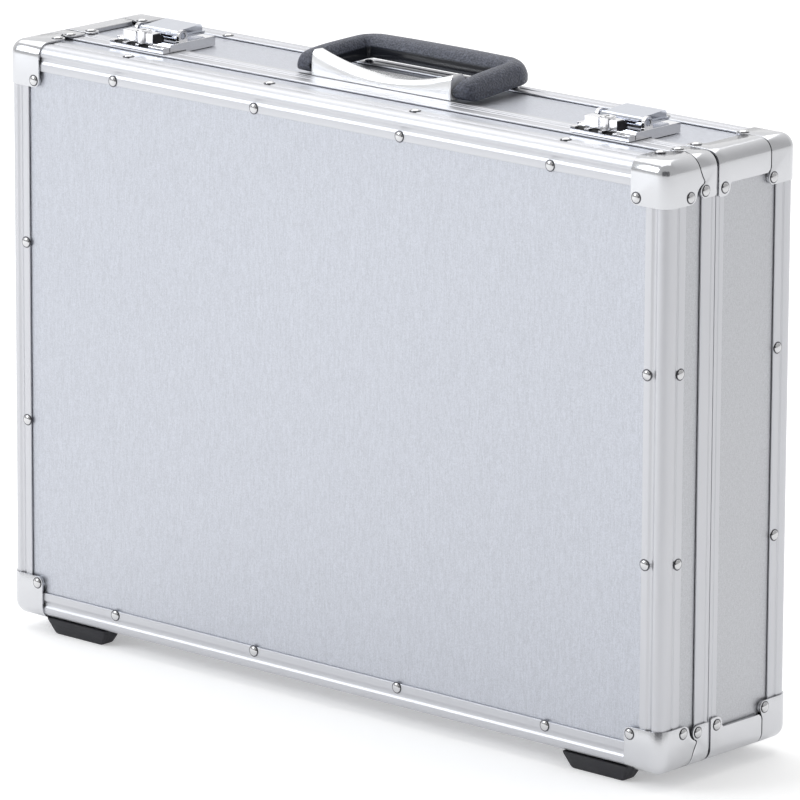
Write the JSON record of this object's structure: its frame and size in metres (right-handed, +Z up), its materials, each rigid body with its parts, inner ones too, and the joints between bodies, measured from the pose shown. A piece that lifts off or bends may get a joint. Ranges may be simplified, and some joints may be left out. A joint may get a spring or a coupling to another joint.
{
  "type": "attache case",
  "caption": "Hard aluminium attache case with a hinged lid, folding carrying handle, locking latches, pressed corner caps, folding lid stays and rubber feet.",
  "frame": {"origin": "on the floor under the feet, at the middle of the case's width and depth", "axes": "+Z up with the case standing on its feet and the handle on top, +X to the right as seen from the lid, +Y from the lid's face to the base's back"},
  "size_m": [0.4624, 0.1044, 0.3427],
  "materials": {
    "embossed_panel": "fine vertical embossed grain, satin",
    "anodised_extrusion": "satin anodised with fine flutes",
    "pressed_cap": "polished pressed sheet",
    "chrome": "polished plating",
    "plated_steel": "plated, lightly brushed",
    "black_plastic": "leather-like grain",
    "silver_plastic": "silver, smooth",
    "foot_rubber": "matte",
    "lining_fabric": "short pile"
  },
  "bodies": {
    "base_shell": {"base_wall_top": "embossed_panel", "base_wall_bottom": "embossed_panel", "base_wall_left": "embossed_panel", "base_wall_right": "embossed_panel", "base_edge_top": "anodised_extrusion", "base_edge_bottom": "anodised_extrusion", "base_edge_left": "anodised_extrusion", "base_edge_right": "anodised_extrusion", "base_ball_corner_top_left": "pressed_cap", "base_ball_corner_top_right": "pressed_cap", "base_ball_corner_bottom_left": "pressed_cap", "base_ball_corner_bottom_right": "pressed_cap", "base_corner_angle_top_left": "pressed_cap", "base_corner_angle_top_right": "pressed_cap", "base_corner_angle_bottom_left": "pressed_cap", "base_corner_angle_bottom_right": "pressed_cap", "base_back_panel": "embossed_panel", "base_rim_frame": "anodised_extrusion", "base_lining": "lining_fabric", "hinge_leaf_base": "plated_steel", "hinge_pin": "plated_steel", "handle_base": "silver_plastic", "latch_body_left": "chrome", "latch_body_right": "chrome", "foot_rear_left": "foot_rubber", "foot_rear_right": "foot_rubber"},
    "lid_shell": {"lid_wall_top": "embossed_panel", "lid_wall_bottom": "embossed_panel", "lid_wall_left": "embossed_panel", "lid_wall_right": "embossed_panel", "lid_edge_top": "anodised_extrusion", "lid_edge_bottom": "anodised_extrusion", "lid_edge_left": "anodised_extrusion", "lid_edge_right": "anodised_extrusion", "lid_ball_corner_top_left": "pressed_cap", "lid_ball_corner_top_right": "pressed_cap", "lid_ball_corner_bottom_left": "pressed_cap", "lid_ball_corner_bottom_right": "pressed_cap", "lid_rim_corner_top_left": "pressed_cap", "lid_rim_corner_top_right": "pressed_cap", "lid_rim_corner_bottom_left": "pressed_cap", "lid_rim_corner_bottom_right": "pressed_cap", "lid_face_panel": "embossed_panel", "lid_rim_frame": "anodised_extrusion", "lid_lining": "lining_fabric", "hinge_leaf_lid": "plated_steel", "latch_strike_left": "chrome", "latch_strike_right": "chrome", "foot_front_left": "foot_rubber", "foot_front_right": "foot_rubber"},
    "handle": {"handle_grip": "black_plastic"},
    "latch_lever_left_body": {"latch_lever_left": "chrome"},
    "lock_plug_left_body": {"lock_plug_left": "chrome"},
    "base_stay_left_body": {"base_stay_link_left": "plated_steel"},
    "lid_stay_left_body": {"lid_stay_link_left": "plated_steel"},
    "latch_lever_right_body": {"latch_lever_right": "chrome"},
    "lock_plug_right_body": {"lock_plug_right": "chrome"},
    "base_stay_right_body": {"base_stay_link_right": "plated_steel"},
    "lid_stay_right_body": {"lid_stay_link_right": "plated_steel"}
  },
  "joints": [
    {"name": "lid_hinge", "type": "hinge", "parent": "base_shell", "child": "lid_shell", "pos_m": [0, -0.0126, 0.0064], "axis": [1, 0, 0], "range_deg": [0, 97]},
    {"name": "handle_fold", "type": "hinge", "parent": "base_shell", "child": "handle", "pos_m": [0, -0.004, 0.3322], "axis": [1, 0, 0], "range_deg": [0, 90]},
    {"name": "latch_lever_left_turn", "type": "hinge", "parent": "base_shell", "child": "latch_lever_left_body", "pos_m": [-0.162, -0.0045, 0.334], "axis": [1, 0, 0], "range_deg": [0, 80]},
    {"name": "lock_left_turn", "type": "hinge", "parent": "base_shell", "child": "lock_plug_left_body", "pos_m": [-0.162, -0.0174, 0.333], "axis": [0, 0, 1], "range_deg": [0, 90]},
    {"name": "base_stay_left_turn", "type": "hinge", "parent": "base_shell", "child": "base_stay_left_body", "pos_m": [-0.2187, -0.004, 0.0684], "axis": [1, 0, 0], "range_deg": [0, 97]},
    {"name": "lid_stay_left_turn", "type": "hinge", "parent": "lid_shell", "child": "lid_stay_left_body", "pos_m": [-0.2187, -0.0212, 0.0684], "axis": [1, 0, 0], "range_deg": [-97, 0]},
    {"name": "latch_lever_right_turn", "type": "hinge", "parent": "base_shell", "child": "latch_lever_right_body", "pos_m": [0.162, -0.0045, 0.334], "axis": [1, 0, 0], "range_deg": [0, 80]},
    {"name": "lock_right_turn", "type": "hinge", "parent": "base_shell", "child": "lock_plug_right_body", "pos_m": [0.162, -0.0174, 0.333], "axis": [0, 0, 1], "range_deg": [0, 90]},
    {"name": "base_stay_right_turn", "type": "hinge", "parent": "base_shell", "child": "base_stay_right_body", "pos_m": [0.2187, -0.004, 0.0684], "axis": [1, 0, 0], "range_deg": [0, 97]},
    {"name": "lid_stay_right_turn", "type": "hinge", "parent": "lid_shell", "child": "lid_stay_right_body", "pos_m": [0.2187, -0.0212, 0.0684], "axis": [1, 0, 0], "range_deg": [-97, 0]}
  ],
  "couplings": [
    {"joint": "base_stay_left_turn", "follows": "lid_hinge", "ratio": 1},
    {"joint": "lid_stay_left_turn", "follows": "lid_hinge", "ratio": -1},
    {"joint": "base_stay_right_turn", "follows": "lid_hinge", "ratio": 1},
    {"joint": "lid_stay_right_turn", "follows": "lid_hinge", "ratio": -1}
  ]
}
